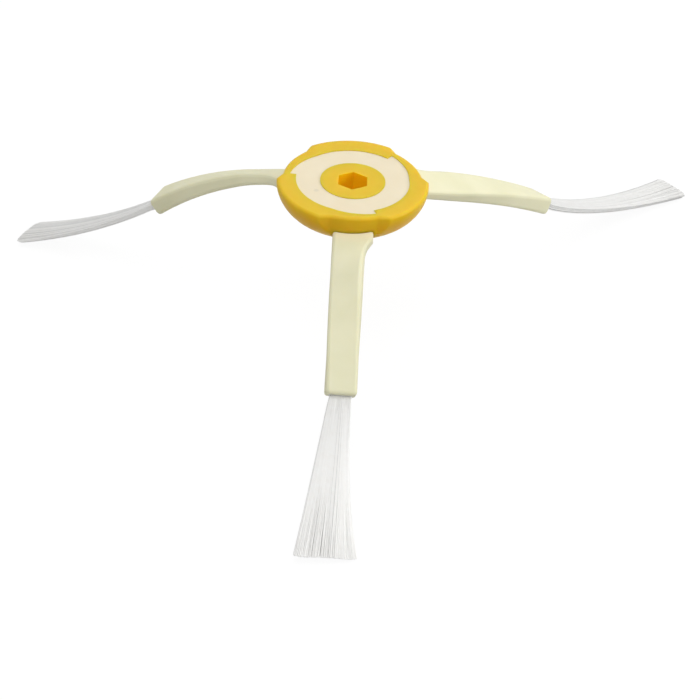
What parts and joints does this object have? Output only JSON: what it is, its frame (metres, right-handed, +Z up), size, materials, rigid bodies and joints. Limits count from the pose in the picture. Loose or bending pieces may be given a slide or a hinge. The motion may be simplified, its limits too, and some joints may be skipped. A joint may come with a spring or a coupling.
{
  "type": "robot vacuum side brush",
  "caption": "Sweeping side brush for a robot vacuum: a domed hard hub with a hexagonal drive socket, soft drooping arms moulded through it and a fanned bristle tuft at the end of each arm.",
  "frame": {"origin": "centre of the drive socket's mouth, level with the hub's flat top face", "axes": "+Z up along the drive axis, towards the robot; the front arm points along -Y and +X is to the right of it as seen in the picture"},
  "size_m": [0.1477, 0.1367, 0.0486],
  "materials": {
    "hub_plastic": "satin moulded yellow",
    "arm_rubber": "matt ivory thermoplastic elastomer",
    "bristle_nylon": "translucent white monofilament"
  },
  "bodies": {
    "root": {"hub": "hub_plastic", "arm_spider": "arm_rubber", "bristle_tuft_front": "bristle_nylon", "bristle_tuft_right": "bristle_nylon", "bristle_tuft_left": "bristle_nylon"}
  },
  "joints": []
}
